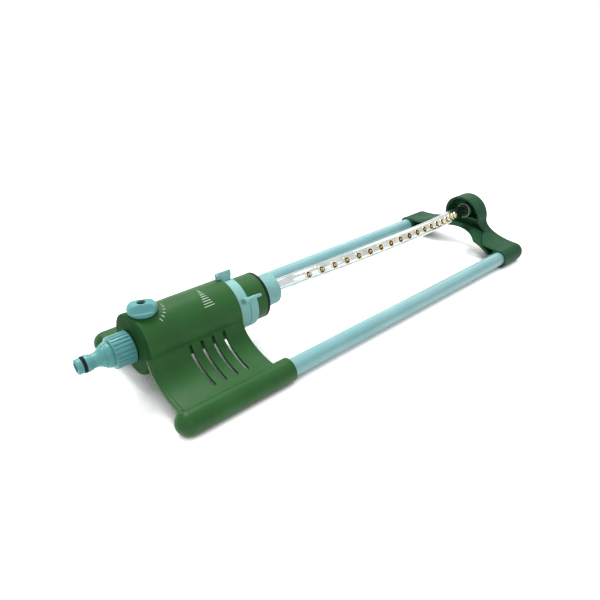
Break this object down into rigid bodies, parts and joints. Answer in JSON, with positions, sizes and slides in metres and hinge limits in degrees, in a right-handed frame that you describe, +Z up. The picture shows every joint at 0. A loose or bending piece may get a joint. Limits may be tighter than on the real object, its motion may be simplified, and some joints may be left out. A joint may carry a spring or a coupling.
{
  "type": "oscillating lawn sprinkler",
  "caption": "Oscillating lawn sprinkler: a drum with a water motor swings an arched spray tube between two side rails, with a hose nipple, flow knob and range rings.",
  "frame": {"origin": "on the ground under the middle of the sprinkler's length and width", "axes": "+X from the hose nipple to the end bracket, +Y to the rear rail, +Z up"},
  "size_m": [0.6076, 0.19, 0.0942],
  "materials": {
    "green_plastic": "satin",
    "teal_plastic": "satin",
    "mint_plastic": "satin",
    "black_plastic": "matte",
    "black_rubber": "matte",
    "white_plastic": "satin",
    "steel": "bright",
    "rail_aluminium": "anodised",
    "tube_aluminium": "anodised",
    "nozzle_brass": "polished"
  },
  "bodies": {
    "base": {"motor_housing": "green_plastic", "inlet_end_cap": "green_plastic", "inlet_nipple": "teal_plastic", "nipple_o_ring": "black_rubber", "inlet_washer": "black_rubber", "inlet_filter": "white_plastic", "valve_seal": "black_rubber", "manifold_seal": "black_rubber", "drum_nose": "green_plastic", "nose_wiper": "black_rubber", "ring_gear": "white_plastic", "front_rail": "rail_aluminium", "rear_rail": "rail_aluminium", "rail_screws": "steel", "end_bracket": "green_plastic", "pivot_bush": "white_plastic"},
    "spray_arm": {"motor_case": "black_plastic", "jet_plate": "black_plastic", "gear_plate": "black_plastic", "first_gear_axle": "steel", "centre_gear_axle": "steel", "motor_cover": "black_plastic", "output_hub": "black_plastic", "tube_collar": "mint_plastic", "tube_seal": "black_rubber", "spray_tube": "tube_aluminium", "spray_nozzles": "nozzle_brass", "end_plug": "black_plastic", "end_plug_seal": "black_rubber"},
    "turbine": {"turbine_wheel": "white_plastic", "turbine_shaft": "steel"},
    "first_gear_body": {"first_gear": "white_plastic"},
    "centre_gear_body": {"centre_gear": "white_plastic"},
    "final_gear_body": {"final_gear": "white_plastic", "final_shaft": "steel"},
    "reverser": {"reversing_rod": "steel", "diverter_flap": "white_plastic", "trip_lever": "white_plastic"},
    "left_ring": {"range_ring_left": "mint_plastic"},
    "right_ring": {"range_ring_right": "mint_plastic"},
    "flow_valve": {"flow_knob": "teal_plastic", "knob_screw": "steel", "valve_plug": "white_plastic"},
    "coupling_nut": {"inlet_nut": "teal_plastic"}
  },
  "joints": [
    {"name": "arm_swing", "type": "hinge", "parent": "base", "child": "spray_arm", "pos_m": [0, 0, 0.054], "axis": [1, 0, 0], "range_deg": [-121.5, 2.5]},
    {"name": "turbine_spin", "type": "hinge", "parent": "spray_arm", "child": "turbine", "pos_m": [-0.2, 0, 0.054], "axis": [1, 0, 0], "range_deg": [-5150, 150]},
    {"name": "first_gear_spin", "type": "hinge", "parent": "spray_arm", "child": "first_gear_body", "pos_m": [-0.19, -0.0069, 0.04228], "axis": [1, 0, 0], "range_deg": [-60, 2150]},
    {"name": "centre_gear_spin", "type": "hinge", "parent": "spray_arm", "child": "centre_gear_body", "pos_m": [-0.185, 0, 0.054], "axis": [1, 0, 0], "range_deg": [-900, 30]},
    {"name": "final_gear_spin", "type": "hinge", "parent": "spray_arm", "child": "final_gear_body", "pos_m": [-0.18, 0.00711, 0.06606], "axis": [1, 0, 0], "range_deg": [-15, 420]},
    {"name": "reverser_tilt", "type": "hinge", "parent": "spray_arm", "child": "reverser", "pos_m": [-0.15, 0.01336, 0.04613], "axis": [1, 0, 0], "range_deg": [-12, 12]},
    {"name": "left_ring_turn", "type": "hinge", "parent": "base", "child": "left_ring", "pos_m": [-0.14, 0, 0.054], "axis": [1, 0, 0], "range_deg": [-48, 0]},
    {"name": "right_ring_turn", "type": "hinge", "parent": "base", "child": "right_ring", "pos_m": [-0.13, 0, 0.054], "axis": [1, 0, 0], "range_deg": [-48, 0]},
    {"name": "flow_knob_turn", "type": "hinge", "parent": "base", "child": "flow_valve", "pos_m": [-0.23565, 0, 0.054], "axis": [0, 0, 1], "range_deg": [-90, 0]},
    {"name": "nut_turn", "type": "hinge", "parent": "base", "child": "coupling_nut", "pos_m": [-0.26385, 0, 0.054], "axis": [1, 0, 0], "continuous": true}
  ],
  "couplings": [
    {"joint": "turbine_spin", "follows": "arm_swing", "ratio": 41.891},
    {"joint": "first_gear_spin", "follows": "arm_swing", "ratio": -17.455},
    {"joint": "centre_gear_spin", "follows": "arm_swing", "ratio": 7.2727},
    {"joint": "final_gear_spin", "follows": "arm_swing", "ratio": -3.3333}
  ]
}
